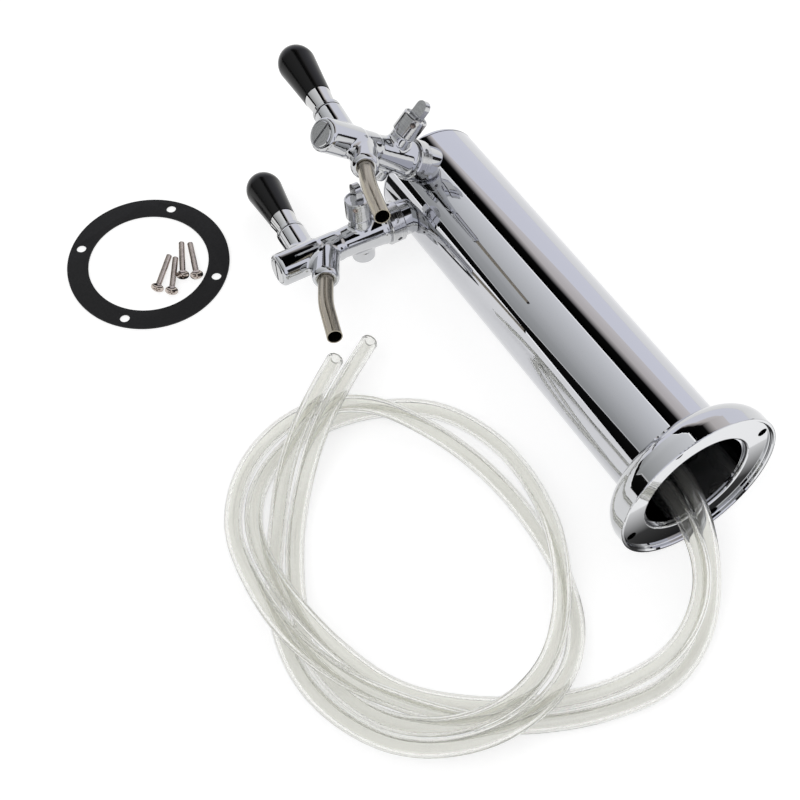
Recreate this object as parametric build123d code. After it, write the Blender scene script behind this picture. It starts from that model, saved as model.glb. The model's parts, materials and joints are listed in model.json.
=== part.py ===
from build123d import *
import math
import os

# Beer tower with two flow-control taps, laid on its side, with its two hoses, its base gasket and
# its mounting screws beside it. Lengths are in mm and angles in degrees.

# ---------------------------------------------------------------- column and cap
COLUMN_OD = 76.0
COLUMN_WALL = 1.5
COLUMN_START = 6.0        # lower end of the tube, above the foot of the flange
TOP_GAP = 0.8             # between the cap's skirt and the highest tap's washer
CAP_SEAM = 0.5            # shadow gap between tube and cap
CAP_EDGE = 4.2            # round of the cap's edge
CAP_DOME = 2.3            # rise of the dome above that round
CAP_PLUG = 3.0            # depth of the cap's skirt in the tube
CAP_SKIRT = 1.6
CAP_ROOF = 1.7            # underside of the roof above the seam
FIT = 0.05                # radial clearance of a piece pushed into another

# ---------------------------------------------------------------- base flange
FLANGE_R = 58.0
FLANGE_WALL_H = 8.0       # upright part of the rim
FLANGE_CROWN = 16.0       # radius of the crown's arc
FLANGE_RISE = 15.0        # height of that arc
FLANGE_RIM = 2.5          # width of the foot's ring
FLANGE_RECESS = 3.0       # from the foot up to the plate
FLANGE_BORE = 38.0
BORE_ROUND = 1.5
NECK_WALL = 1.4           # collar of the flange round the tube
NECK_ROUND = 0.4
NECK_RISE = 2.1           # of that collar above the crown
NECK_CHAMFER = 0.7
CROWN_SHELF = 1.0         # flat between the crown's arc and the collar
FOOT_EDGE = 0.8
BOLT_CIRCLE = 102.0
BOLT_COUNT = 4
BOLT_HOLE_R = 3.3
BOLT_TURN = 67.0
SPOT_R = 5.2
SPOT_H = 19.0             # seat of the screw heads above the foot

# ---------------------------------------------------------------- gasket and mounting screws
GASKET_R = 58.0
GASKET_HOLE = 43.0
GASKET_T = 2.0
GASKET_BOLT_R = 3.5
GASKET_PLACE = (-199.8, 374.9)
GASKET_TURN = 45.0
SCREW_LEN = 33.0
SCREW_R = 2.1
SCREW_HEAD_R = 4.65
SCREW_HEAD_CONE = 2.4
SCREW_HEAD_RIM = 0.4
SCREW_DOME = 1.5
SCREW_TIP = 0.5
SCREW_SLOT = 1.0
# head place in the plane, and the direction from tip to head
SCREW_PLACES = [(-205.0, 349.0, -131.4), (-197.5, 341.5, -121.0), (-184.5, 350.0, -114.4),
                (-176.0, 345.0, -107.6)]

# ---------------------------------------------------------------- taps on the column
# seat: angle round the column, turn: of the shank from the radius, roll: of the faucet on its shank,
# height: of the shank above the foot, holes: phase of the coupling nut's spanner holes
TAPS = {
    "tap1": dict(seat=65.0, turn=-23.0, roll=2.3, height=299.0, holes=179.4),
    "tap2": dict(seat=2.5, turn=0.0, roll=-9.6, height=289.0, holes=191.7),
}
SHANK_R = 10.3
SHANK_BORE = 4.0
SHANK_TAIL = 24.0         # end of the shank inside the column, from the column's face
SHANK_HEAD_R = 12.0
SHANK_HEAD_T = 2.4
THREAD_GAP = 0.1
COLLAR_R = 12.6
COLLAR_OUT = 5.5          # outer face of the collar, from the column's face
COLLAR_EDGE = 0.6
WASHER_R = 13.0
WASHER_MIN = 1.2          # least thickness of the shaped washer inside the column
LOCK_NUT_AF = 26.4
LOCK_NUT_H = 6.0
COUPLING_R = 14.5
COUPLING_LEN = 11.0
COUPLING_LIP = 1.5
COUPLING_EDGE = 0.7
SPANNER_HOLE_R = 1.75
SPANNER_HOLES = 6
SEAL_T = 1.6
SEAL_R = 11.0
SEAL_HOLE = 5.0

# ---------------------------------------------------------------- tail elbow and hoses
ELBOW_R = 5.6
ELBOW_BORE = 2.8
ELBOW_OUT = 8.0           # from the shank's end to the leg's axis
ELBOW_SPIGOT = 7.8
ELBOW_SPIGOT_R = 6.0
LEG_LEN = 7.0
BARB_LEN = 23.0
BARB_STEP = 4.5
HOSE_OD = 12.0
HOSE_ID = 8.0
HOSE_START = 9.0          # hose end below the shank's axis
HOSE_FIRST = 45.0         # straight first run of the hose
CLAMP_TOP = 17.0
CLAMP_W = 7.0
CLAMP_T = 0.8
CLAMP_EAR = 3.2
CLAMP_EAR_W = 4.0

# ---------------------------------------------------------------- faucet, x = 0 at its back face
BODY_LEN = 89.5
BODY_ROOT = 12.0          # inside the coupling nut
BODY_SHOULDER = 12.8
SHOULDER_LEN = 3.5
BODY_NECK = 10.2
NECK_X = 40.0
BODY_WAIST = 10.75
WAIST_X = 42.0
FRONT_X = 57.5            # start of the front barrel
FRONT_R = 11.5
FRONT_EDGE = 3.0
INLET_R = 5.0
INLET_LEN = 5.5
CHAMBER_R = 8.7
SEAT_X = 41.0
SEAT_T = 3.5
SEAT_HOLE = 4.5
PORT_R = 8.0
PORT_LEN = 10.5
FRONT_BORE = 7.5
PLUG_R = 8.5
PLUG_HEAD = 3.0
PLUG_PROUD = 0.3
PLUG_LEN = 9.8
PLUG_SLOT = 1.6
VENT_X = 73.0
VENT_R = 1.0
RING_GROOVE = 2.0         # width of an O-ring's groove
RING_DEPTH = 1.25

# lever and its branch
LEAN = 7.6
BRANCH_X = 66.5           # where the branch's axis meets the height of its own centre
PIVOT_H = 17.0
BRANCH_R = 10.25
BRANCH_BORE = 8.0
BRANCH_TOP = 11.85        # above the pivot
BRANCH_FLOOR = 5.5        # below the pivot
BALL_R = 5.5
BALL_GAP = 0.12
STEM_R = 2.9
STEM_TOP = 58.0
ARM = 10.5
ARM_R = 1.8
TIP_BALL = 2.3
LEVER_MAX = 30.0
BONNET_TOP = 13.1
BONNET_BASE = 1.0
STEM_ROOM = 11.0          # of the stem's opening above the bonnet
STEM_CLEAR = 0.3
ARM_SIDE = 0.9            # of the lower arm in its pocket
ARM_AHEAD = 1.1
ARM_BEHIND = 0.65
ARM_DEEP = 8.4
ARM_HIGH = 2.2
LEVER_COLLAR_R = 10.0
LEVER_COLLAR_H = 5.3
FERRULE_H = 14.1
FERRULE_R0 = 7.7
FERRULE_R1 = 9.3
GRIP_LEN = 53.5
GRIP_R0 = 9.5
GRIP_R1 = 12.85
GRIP_WIDE = 68.0          # widest place above the pivot
GLUE = 0.04               # radial clearance of the glued handle pieces

# valve shaft
SHAFT_R = 2.5
LAND_R = 7.44
SHAFT_BACK = 5.4          # shaft's back end behind the seat
SHAFT_GAP = 0.8           # between the shaft's front end and the front plug
SHAFT_EDGE = 0.6
SHAFT_WAIST = 4.0         # thinner stretch of the front land
SHAFT_WAIST_AT = 4.2      # from the shaft's front end
SHAFT_WAIST_DEPTH = 1.8
SHAFT_WAIST_SLOPE = 1.0
LAND_BACK = 15.0          # start of the land ahead of the port's back wall
SEAT_CLEAR = 0.9          # radial clearance of the shaft's collar in the seat
SEAT_COLLAR = 2.65        # length of that collar
SEAT_COLLAR_SLOPE = 1.2
POCKET_CLEAR = 0.5        # each side of the lever's lower ball, in the shaft's pocket
POCKET_UP = 8.8           # open top of that pocket above the ball
VALVE_SEAL_R = 6.4
VALVE_SEAL_T = 3.0
SEAL_NUT_AF = 8.0
SEAL_NUT_H = 2.0

# spout
SOCKET_X = 51.5
SOCKET_LEAN = 28.97
SOCKET_R = 9.5
SOCKET_LEN = 32.0
SPOUT_OD = 10.6
SPOUT_WALL = 0.65
SPOUT_IN = 14.3           # start of the spout in its socket
SPOUT_REACH = 89.5        # middle of the spout's mouth from the body's back face
SPOUT_DROP = 81.4
SPOUT_LEAN = 18.5         # of the spout's lower leg
SPOUT_LEG = 34.0
SPOUT_BEND = 100.0
SPOUT_RING_AT = 22.0

# flow control
CONTROL_X = 23.5
BOSS_R = 7.6
BOSS_OUT = 17.0
BOSS_CAP_R = 8.25
BOSS_CAP_IN = 10.6
BOSS_CAP_OUT = 19.0
SPINDLE_R = 4.47
SPINDLE_BORE = 4.55
SPINDLE_STEM = 3.0
PIN_R = 1.5
PIN_THROW = 3.0           # travel of the pin over a quarter turn
PIN_END = 1.5
KNOB_MAX = 90.0
KNOB_R = 9.0
KNOB_IN = 17.3
KNOB_OUT = 32.0
KNOB_EDGE = 0.6
KNOB_RIM = 1.0            # raised rim of the knob's outer face
KNOB_WALL = 0.8           # of the knob over the end of its spindle
TAB_W = 9.5
TAB_T = 4.5
TAB_OUT = 44.0
TAB_FOOT = 2.2            # cross shoulder at the tab's foot
GRUB_R = 2.0
GRUB_AT = 28.0
GRUB_TURN = -52.0
PISTON_X0, PISTON_X1 = 10.0, 28.0
PISTON_R = 7.4
PISTON_NOSE = 3.0
RIB_LEN = 13.0
RIB_T = 1.8
PISTON_GAP = 0.08

# ---------------------------------------------------------------- hose routes, after the first run
# in the plane from the foot of the flange, heights above the surface
TAP2_ROUTE = [
    (-7.5, 187.5, 32.0), (-8.5, 141.5, 24.5), (-9.0, 95.0, 23.5), (-6.5, 49.0, 30.5),
    (-7.0, 2.5, 36.0), (-18.5, -42.5, 25.5), (-56.5, -69.0, 13.0), (-104.0, -66.5, 6.0),
    (-147.5, -52.0, 6.0), (-184.0, -31.0, 6.0), (-217.5, -0.5, 6.0), (-237.5, 39.5, 19.0),
    (-246.5, 85.5, 23.0), (-244.0, 132.5, 15.5), (-220.0, 171.5, 8.0), (-177.5, 190.0, 6.0),
    (-129.5, 184.5, 6.0), (-89.0, 161.5, 6.5), (-68.5, 119.0, 6.5), (-69.0, 72.5, 15.0),
    (-81.0, 28.0, 22.0), (-105.0, -13.5, 17.5), (-140.5, -43.5, 24.0), (-185.5, -49.0, 24.5),
    (-225.5, -28.5, 17.5), (-246.0, 10.5, 6.0), (-250.0, 56.0, 6.0), (-232.0, 100.0, 11.5),
    (-208.0, 139.5, 6.0), (-177.5, 170.0, 25.0), (-140.0, 195.5, 34.0), (-105.5, 222.0, 20.0)]
TAP1_ROUTE = [
    (6.5, 198.5, 44.0), (5.0, 153.5, 31.0), (3.5, 107.5, 23.0), (5.5, 61.5, 29.5),
    (7.5, 15.0, 40.0), (-2.0, -26.0, 20.5), (-29.5, -63.5, 6.0), (-70.5, -83.0, 6.0),
    (-118.0, -76.0, 6.5), (-159.0, -60.0, 7.0), (-189.0, -41.0, 10.5), (-215.5, -16.0, 15.5),
    (-242.5, 17.5, 20.5), (-258.5, 61.5, 21.0), (-259.0, 108.5, 16.5), (-250.0, 153.5, 6.0),
    (-219.5, 189.5, 6.0), (-175.0, 201.5, 14.0), (-131.5, 184.0, 20.0), (-104.0, 147.0, 13.0),
    (-86.5, 105.5, 6.0), (-81.5, 59.0, 6.0), (-85.5, 12.0, 6.0), (-104.0, -31.5, 7.5),
    (-142.0, -57.5, 21.5), (-188.5, -60.5, 21.0), (-232.0, -38.5, 13.5), (-256.5, 0.5, 11.0),
    (-263.5, 44.5, 6.5), (-251.5, 93.0, 6.0), (-227.0, 132.5, 6.0), (-201.0, 167.5, 17.0),
    (-166.0, 194.5, 31.0), (-132.0, 222.5, 18.0)]
ROUND_SHARE = 0.45        # share of the shorter run that each hose bend takes

# ---------------------------------------------------------------- worked out
COLUMN_R = COLUMN_OD / 2
COLUMN_BORE = COLUMN_R - COLUMN_WALL
COLUMN_TOP = max(tap["height"] for tap in TAPS.values()) + WASHER_R + CAP_PLUG + TOP_GAP
COUPLING_OUT = COLLAR_OUT + COUPLING_LEN
SHANK_FACE = COLLAR_OUT + COUPLING_LIP + SHANK_HEAD_T
BODY_BACK = SHANK_FACE + SEAL_T            # back face of the faucet, from the column's face
NUT_END = COUPLING_OUT - BODY_BACK         # end of the coupling nut in the faucet's frame
SHAFT_END = BODY_LEN - PLUG_LEN + PLUG_PROUD - SHAFT_GAP
PIVOT_X = BRANCH_X - PIVOT_H * math.tan(math.radians(LEAN))
KNOB_FACE = KNOB_OUT - KNOB_RIM
PIN_E = PIN_THROW / 2 / math.sin(math.radians(KNOB_MAX / 2))
CONE_TOP = BRANCH_TOP + LEVER_COLLAR_H
FERRULE_TOP = CONE_TOP + FERRULE_H
GRIP_TOP = FERRULE_TOP + GRIP_LEN


# ---------------------------------------------------------------- helpers
def outline(items):
    """Face in the XZ plane from (r, z) points and ("arc", through, end) entries."""
    def place(p):
        return Vector(p[0], 0, p[1])
    edges = []
    here = items[0]
    for item in list(items[1:]) + [items[0]]:
        if item[0] == "arc":
            edges.append(ThreePointArc(place(here), place(item[1]), place(item[2])))
            here = item[2]
        elif (place(item) - place(here)).length > 1e-6:
            edges.append(Line(place(here), place(item)))
            here = item
    return make_face(edges)


def turned(*items):
    """Solid of revolution about Z."""
    return revolve(outline(items), Axis.Z, 360)


def dome(r, z, top):
    """Arc of a sphere from (r, z) up to the axis."""
    rise = top - z
    ball = (r * r + rise * rise) / (2 * rise)
    return "arc", (r / 2, top - ball + math.sqrt(ball * ball - r * r / 4)), (0, top)


def rod(r, z0, z1, x=0.0, y=0.0):
    return Pos(x, y, (z0 + z1) / 2) * Cylinder(r, z1 - z0)


def frame_at(origin, z_dir, x_dir=None):
    if x_dir is None:
        return Plane(origin=origin, z_dir=z_dir).location
    return Plane(origin=origin, x_dir=x_dir, z_dir=z_dir).location


def leaning(origin, angle, down=False):
    """Frame in the faucet's upright plane, its z leaning by angle from the height."""
    s, c = math.sin(math.radians(angle)), math.cos(math.radians(angle))
    return frame_at(origin, (s, 0, -c if down else c), (c, 0, s if down else -s))


def on_circle(r, angle):
    return r * math.cos(math.radians(angle)), r * math.sin(math.radians(angle))


# ---------------------------------------------------------------- how the tower lies
def rest_tilt():
    """Angle of the column when the flange's crown and the cap's edge both touch the surface."""
    along = COLUMN_TOP + CAP_SEAM - FLANGE_WALL_H
    across = (FLANGE_R - FLANGE_CROWN) - (COLUMN_R - CAP_EDGE)
    drop = FLANGE_CROWN - CAP_EDGE
    return math.degrees(math.asin(drop / math.hypot(along, across)) + math.atan2(across, along))


TILT = rest_tilt()
tilt_s, tilt_c = math.sin(math.radians(TILT)), math.cos(math.radians(TILT))
FOOT_H = FLANGE_CROWN + (FLANGE_R - FLANGE_CROWN) * tilt_c + FLANGE_WALL_H * tilt_s
TOWER = frame_at((0, 0, FOOT_H), (0, tilt_c, -tilt_s), (-1, 0, 0))
ALONG_X = frame_at((0, 0, 0), (1, 0, 0), (0, 0, 1))
BRANCH = leaning((PIVOT_X, 0, PIVOT_H), -LEAN)
SOCKET = leaning((SOCKET_X, 0, 0), SOCKET_LEAN, down=True)
CONTROL = frame_at((CONTROL_X, 0, 0), (0, 1, 0), (1, 0, 0))


def seat_frame(tap):
    """x out along the shank from the column's face, z up the column."""
    x, y = on_circle(COLUMN_R, tap["seat"])
    dx, dy = on_circle(1.0, tap["seat"] + tap["turn"])
    return frame_at((x, y, tap["height"]), (0, 0, 1), (dx, dy, 0))


def washer_face(tap):
    """Inner face of the shaped washer, which clears the column's inner wall by its least thickness."""
    turn = math.radians(abs(tap["turn"]))
    side = COLUMN_R * math.sin(turn) + WASHER_R
    return math.sqrt(COLUMN_BORE ** 2 - side ** 2) - COLUMN_R * math.cos(turn) - WASHER_MIN


# ---------------------------------------------------------------- tower, upright on its foot
def make_column():
    tube = rod(COLUMN_R, COLUMN_START, COLUMN_TOP) - rod(COLUMN_BORE, COLUMN_START - 1, COLUMN_TOP + 1)
    for tap in TAPS.values():
        tube -= seat_frame(tap) * ALONG_X * rod(SHANK_R + 0.3, -COLLAR_R, COLLAR_OUT)
    return tube


def make_cap():
    base = COLUMN_TOP + CAP_SEAM
    skirt = COLUMN_BORE - FIT
    top = base + CAP_EDGE + CAP_DOME
    flat = COLUMN_R - CAP_EDGE
    k = CAP_EDGE * (1 - math.sqrt(0.5))
    roof = base + CAP_ROOF
    return turned((0, roof), (skirt - CAP_SKIRT, roof), (skirt - CAP_SKIRT, COLUMN_TOP - CAP_PLUG),
                  (skirt, COLUMN_TOP - CAP_PLUG), (skirt, base), (COLUMN_R, base),
                  ("arc", (COLUMN_R - k, base + CAP_EDGE - k), (flat, base + CAP_EDGE)),
                  dome(flat, base + CAP_EDGE, top))


def make_flange():
    centre = FLANGE_R - FLANGE_CROWN
    rise = FLANGE_WALL_H + FLANGE_RISE
    crown_r = centre + math.sqrt(FLANGE_CROWN ** 2 - FLANGE_RISE ** 2)
    cx, cz = on_circle(FLANGE_CROWN, math.degrees(math.asin(FLANGE_RISE / FLANGE_CROWN)) / 2)
    inner = FLANGE_R - FLANGE_RIM
    neck = COLUMN_R + FIT
    k = 1 - math.sqrt(0.5)
    e = FOOT_EDGE
    lip = FLANGE_RECESS + BORE_ROUND
    neck_out = neck + NECK_WALL
    neck_top = rise + NECK_RISE
    flange = turned(
        (inner, e), (inner + e, 0), (FLANGE_R - e, 0),
        ("arc", (FLANGE_R - e * k, e * k), (FLANGE_R, e)), (FLANGE_R, FLANGE_WALL_H),
        ("arc", (centre + cx, FLANGE_WALL_H + cz), (crown_r, rise)),
        (crown_r - CROWN_SHELF, rise + NECK_ROUND), (neck_out + NECK_ROUND, neck_top - NECK_CHAMFER),
        (neck_out, neck_top), (neck, neck_top), (neck, COLUMN_START), (FLANGE_BORE, COLUMN_START - 0.4),
        (FLANGE_BORE, lip),
        ("arc", (FLANGE_BORE + BORE_ROUND * k, lip - BORE_ROUND * (1 - k)),
         (FLANGE_BORE + BORE_ROUND, FLANGE_RECESS)),
        (inner - e, FLANGE_RECESS),
        ("arc", (inner - e * k, FLANGE_RECESS - e * k), (inner, FLANGE_RECESS - e)))
    for i in range(BOLT_COUNT):
        x, y = on_circle(BOLT_CIRCLE / 2, BOLT_TURN + 360 / BOLT_COUNT * i)
        flange -= rod(BOLT_HOLE_R, -1, rise + 5, x, y)
        flange -= rod(SPOT_R, SPOT_H, rise + 5, x, y)
    return flange


# ---------------------------------------------------------------- loose pieces
def make_gasket():
    gasket = rod(GASKET_R, 0, GASKET_T) - rod(GASKET_HOLE, -1, GASKET_T + 1)
    for i in range(BOLT_COUNT):
        x, y = on_circle(BOLT_CIRCLE / 2, GASKET_TURN + 360 / BOLT_COUNT * i)
        gasket -= rod(GASKET_BOLT_R, -1, GASKET_T + 1, x, y)
    return Pos(*GASKET_PLACE, 0) * gasket


def make_screw():
    """Raised countersunk screw with a cross recess, tip at z = 0 and head on top."""
    rim = SCREW_LEN - SCREW_DOME
    cone = rim - SCREW_HEAD_RIM
    screw = turned((0, 0), (SCREW_R - SCREW_TIP, 0), (SCREW_R, SCREW_TIP),
                   (SCREW_R, cone - SCREW_HEAD_CONE),
                   (SCREW_HEAD_R, cone), (SCREW_HEAD_R, rim), dome(SCREW_HEAD_R, rim, SCREW_LEN))
    arm = SCREW_HEAD_R * 1.1
    for size in ((arm, SCREW_SLOT), (SCREW_SLOT, arm)):
        screw -= Pos(0, 0, SCREW_LEN - SCREW_DOME / 2) * Box(*size, SCREW_DOME * 1.5)
    return screw


def lay_screw(screw, place):
    """The screw lies on the rim of its head and on the edge of its tip."""
    x, y, heading = place
    cone = SCREW_LEN - SCREW_DOME - SCREW_HEAD_RIM
    rise = math.atan2(SCREW_HEAD_R - SCREW_R, cone - SCREW_TIP)
    c, s = math.cos(rise), math.sin(rise)
    tip_h = SCREW_R * c - SCREW_TIP * s
    hx, hy = on_circle(1.0, heading)
    tip = (x - hx * cone * c, y - hy * cone * c, tip_h)
    return frame_at(tip, (hx * c, hy * c, s), (-hx * s, -hy * s, c)) * screw


# ---------------------------------------------------------------- what holds a tap to the column
def column_rod(tap, r):
    """The column as a plain rod, seen from the tap's seat."""
    return seat_frame(tap).inverse() * rod(r, tap["height"] - COLUMN_OD, tap["height"] + COLUMN_OD)


def make_collar(tap):
    edge = COLLAR_OUT - COLLAR_EDGE
    collar = rod(COLLAR_R, -COLLAR_R, edge)
    collar += turned((0, edge), (COLLAR_R, edge), (COLLAR_R - COLLAR_EDGE, COLLAR_OUT), (0, COLLAR_OUT))
    collar -= rod(SHANK_R + THREAD_GAP, -COLLAR_R - 1, COLLAR_OUT + 1)
    return ALONG_X * collar - column_rod(tap, COLUMN_R + 0.02)


def make_wall_washer(tap):
    face = washer_face(tap)
    washer = rod(WASHER_R, face, COLLAR_OUT) - rod(SHANK_R + THREAD_GAP, face - 1, COLLAR_OUT + 1)
    return (ALONG_X * washer) & column_rod(tap, COLUMN_BORE - 0.02)


def make_lock_nut(tap):
    face = washer_face(tap)
    hexagon = RegularPolygon(LOCK_NUT_AF / 2, 6, major_radius=False)
    nut = Pos(0, 0, face - LOCK_NUT_H) * extrude(hexagon, LOCK_NUT_H)
    return ALONG_X * (nut - rod(SHANK_R + 0.02, face - LOCK_NUT_H - 1, face + 1))


def make_shank():
    shank = rod(SHANK_R, -SHANK_TAIL, SHANK_FACE)
    shank += rod(SHANK_HEAD_R, SHANK_FACE - SHANK_HEAD_T, SHANK_FACE)
    shank -= rod(SHANK_BORE, -SHANK_TAIL - 1, SHANK_FACE + 1)
    shank -= rod(ELBOW_SPIGOT_R, -SHANK_TAIL - 1, -SHANK_TAIL + ELBOW_SPIGOT + 0.2)
    return ALONG_X * shank


def make_tail_elbow():
    """Spigot in the shank, a right-angle bend and a barbed leg down the column."""
    end = -SHANK_TAIL
    leg = end - ELBOW_OUT
    elbow = ALONG_X * rod(ELBOW_SPIGOT_R - FIT, end, end + ELBOW_SPIGOT)
    elbow += ALONG_X * rod(ELBOW_SPIGOT_R + 0.2, end - 1, end)
    elbow += ALONG_X * rod(ELBOW_R, leg, end)
    elbow += Pos(leg, 0, 0) * Sphere(ELBOW_R)
    elbow += rod(ELBOW_R, -LEG_LEN, 0, leg, 0)
    ridge = HOSE_ID / 2 - 0.01
    root = ridge - 0.15
    points = [(0, -LEG_LEN - BARB_LEN), (root - 0.15, -LEG_LEN - BARB_LEN)]
    low = -LEG_LEN - BARB_LEN
    for i in range(3):
        top = low + 3.0 + BARB_STEP * i
        points += [(ridge, top), (root, top)]
    points += [(root, -LEG_LEN), (0, -LEG_LEN)]
    elbow += Pos(leg, 0, 0) * turned(*points)
    elbow -= ALONG_X * rod(ELBOW_BORE, leg, end + ELBOW_SPIGOT + 1)
    elbow -= Pos(leg, 0, 0) * Sphere(ELBOW_BORE)
    return elbow - rod(ELBOW_BORE, low - 1, 0, leg, 0)


def make_hose_clamp():
    """Pinch clamp round the hose, over the barbs."""
    leg = -SHANK_TAIL - ELBOW_OUT
    r = HOSE_OD / 2 + 0.03
    low, mid = -CLAMP_TOP - CLAMP_W, -CLAMP_TOP - CLAMP_W / 2
    clamp = rod(r + CLAMP_T, low, -CLAMP_TOP, leg, 0)
    clamp += Pos(leg + r + CLAMP_EAR / 2, 0, mid) * Box(CLAMP_EAR, CLAMP_EAR_W, CLAMP_W)
    clamp -= rod(r, low - 1, -CLAMP_TOP + 1, leg, 0)
    slot = CLAMP_EAR - 2 * CLAMP_T + 0.6
    gap = Box(slot, CLAMP_EAR_W - 2 * CLAMP_T, CLAMP_W + 1)
    return clamp - Pos(leg + r + CLAMP_T / 4 + slot / 2, 0, mid) * gap


def make_coupling_nut(tap):
    e = COUPLING_EDGE
    inner = BODY_ROOT + THREAD_GAP
    hole = SHANK_R + 0.3
    lip = COLLAR_OUT + COUPLING_LIP
    nut = ALONG_X * turned((hole, COLLAR_OUT), (COUPLING_R - e, COLLAR_OUT), (COUPLING_R, COLLAR_OUT + e),
                           (COUPLING_R, COUPLING_OUT - e), (COUPLING_R - e, COUPLING_OUT),
                           (inner, COUPLING_OUT),
                           (inner, lip), (hole, lip))
    middle = COLLAR_OUT + COUPLING_LEN * 0.55
    for i in range(SPANNER_HOLES):
        dy, dz = on_circle(1.0, tap["holes"] + 360 / SPANNER_HOLES * i)
        nut -= frame_at((middle, 0, 0), (0, dz, dy)) * rod(SPANNER_HOLE_R, inner + 0.2, COUPLING_R + 1)
    return nut


def make_coupling_seal():
    return ALONG_X * (rod(SEAL_R, SHANK_FACE, BODY_BACK) - rod(SEAL_HOLE, SHANK_FACE - 1, BODY_BACK + 1))


# ---------------------------------------------------------------- faucet body, in the faucet's frame
def make_body():
    shoulder = NUT_END + 0.4
    step = shoulder + 0.5 + SHOULDER_LEN
    k = FRONT_EDGE * (1 - math.sqrt(0.5))
    body = ALONG_X * turned(
        (0, 0), (BODY_ROOT, 0), (BODY_ROOT, shoulder), (BODY_SHOULDER, shoulder + 0.5),
        (BODY_SHOULDER, step - 0.9),
        (BODY_SHOULDER - 0.5, step + 0.1), (BODY_NECK, NECK_X), (BODY_WAIST, WAIST_X),
        (BODY_WAIST, FRONT_X - 2),
        (FRONT_R, FRONT_X), (FRONT_R, BODY_LEN - FRONT_EDGE),
        ("arc", (FRONT_R - k, BODY_LEN - k), (FRONT_R - FRONT_EDGE, BODY_LEN)), (0, BODY_LEN))
    body += BRANCH * rod(BRANCH_R, -PIVOT_H / math.cos(math.radians(LEAN)), BRANCH_TOP)
    body += SOCKET * turned((0, 0), (SOCKET_R, 0), (SOCKET_R, SOCKET_LEN - 3.6),
                            ("arc", (SOCKET_R - 0.45, SOCKET_LEN - 1.6), (SOCKET_R - 2.2, SOCKET_LEN)),
                            (0, SOCKET_LEN))
    body += CONTROL * rod(BOSS_R, -BOSS_CAP_IN + 0.6, BOSS_OUT)
    body += CONTROL * turned((0, -BOSS_CAP_OUT), (BOSS_CAP_R - 2, -BOSS_CAP_OUT),
                             ("arc", (BOSS_CAP_R - 0.55, -BOSS_CAP_OUT + 0.6),
                              (BOSS_CAP_R, -BOSS_CAP_OUT + 2)),
                             (BOSS_CAP_R, -BOSS_CAP_IN), (BOSS_R, -BOSS_CAP_IN + 0.6),
                             (0, -BOSS_CAP_IN + 0.6))
    return hollow_body(body)


def hollow_body(body):
    port = SEAT_X + SEAT_T
    body -= ALONG_X * rod(INLET_R, -1, INLET_LEN + 1)
    body -= ALONG_X * rod(CHAMBER_R, INLET_LEN, SEAT_X)
    body -= ALONG_X * rod(SEAT_HOLE, SEAT_X - 1, port + 1)
    body -= ALONG_X * rod(PORT_R, port, port + PORT_LEN)
    body -= ALONG_X * rod(FRONT_BORE, port + PORT_LEN - 1, BODY_LEN + 1)
    body -= ALONG_X * rod(PLUG_R + FIT, BODY_LEN - PLUG_HEAD, BODY_LEN + 1)
    body -= BRANCH * rod(BRANCH_BORE, -BRANCH_FLOOR, BRANCH_TOP + 1)
    body -= BRANCH * arm_room()
    body -= BRANCH * stem_room(STEM_R + STEM_CLEAR)
    body -= SOCKET * rod(SPOUT_OD / 2 + 0.03, SPOUT_IN - 0.3, SOCKET_LEN + 1)
    body -= SOCKET * rod(SPOUT_OD / 2 - SPOUT_WALL, 0, SPOUT_IN)
    body -= SOCKET * rod(SPOUT_OD / 2 + RING_DEPTH + 0.15, SPOUT_RING_AT, SPOUT_RING_AT + RING_GROOVE)
    body -= CONTROL * rod(SPINDLE_BORE, CHAMBER_R - 3.7, BOSS_OUT + 1)
    return body - frame_at((VENT_X, 0, 0), (0, 0, -1)) * rod(VENT_R, FRONT_BORE - 1.5, FRONT_R + 2)


def arm_room():
    """Pocket below the ball in which the lever's lower arm swings."""
    back = ARM * math.sin(math.radians(LEVER_MAX)) + TIP_BALL + ARM_BEHIND
    ahead = TIP_BALL + ARM_AHEAD
    middle = ARM_HIGH - BRANCH_FLOOR - ARM_DEEP / 2
    return Pos((ahead - back) / 2, 0, middle) * Box(back + ahead, 2 * (TIP_BALL + ARM_SIDE), ARM_DEEP)


def stem_room(r):
    """Room for the stem: upright, tilted, and the wedge between."""
    s, c = math.sin(math.radians(LEVER_MAX + 0.8)), math.cos(math.radians(LEVER_MAX + 0.8))
    high = BONNET_TOP + STEM_ROOM
    wedge = make_face(Polyline((0, 0, 0), (0, 0, high), (high * s, 0, high * c), (0, 0, 0)))
    room = rod(r, 0, high) + frame_at((0, 0, 0), (s, 0, c)) * rod(r, 0, high)
    return room + extrude(wedge, r, dir=(0, 1, 0), both=True)


# ---------------------------------------------------------------- front plug and spout
def make_front_plug():
    inner = BODY_LEN - PLUG_HEAD
    face = BODY_LEN + PLUG_PROUD
    stem = FRONT_BORE - FIT
    groove = ring_place()
    plug = rod(stem, BODY_LEN - PLUG_LEN + PLUG_PROUD, inner) + rod(PLUG_R, inner, face - 0.6)
    plug += turned((0, face - 0.6), (PLUG_R, face - 0.6), (PLUG_R - 0.5, face), (0, face))
    groove_end = groove + RING_GROOVE
    plug -= rod(stem + 1, groove, groove_end) - rod(stem - RING_DEPTH, groove - 1, groove_end + 1)
    return ALONG_X * plug - Pos(face + 0.2, 0, 0) * Box(3.0, 2 * PLUG_R + 3, PLUG_SLOT)


def ring_place():
    """Start of the O-ring's groove on the front plug."""
    return BODY_LEN - PLUG_HEAD - 4.0


def make_plug_ring():
    start = ring_place() + 0.1
    stem = FRONT_BORE - FIT
    ring = rod(stem + 0.03, start, start + RING_GROOVE - 0.2)
    return ALONG_X * (ring - rod(stem - RING_DEPTH + 0.02, start - 1, start + 3))


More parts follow.
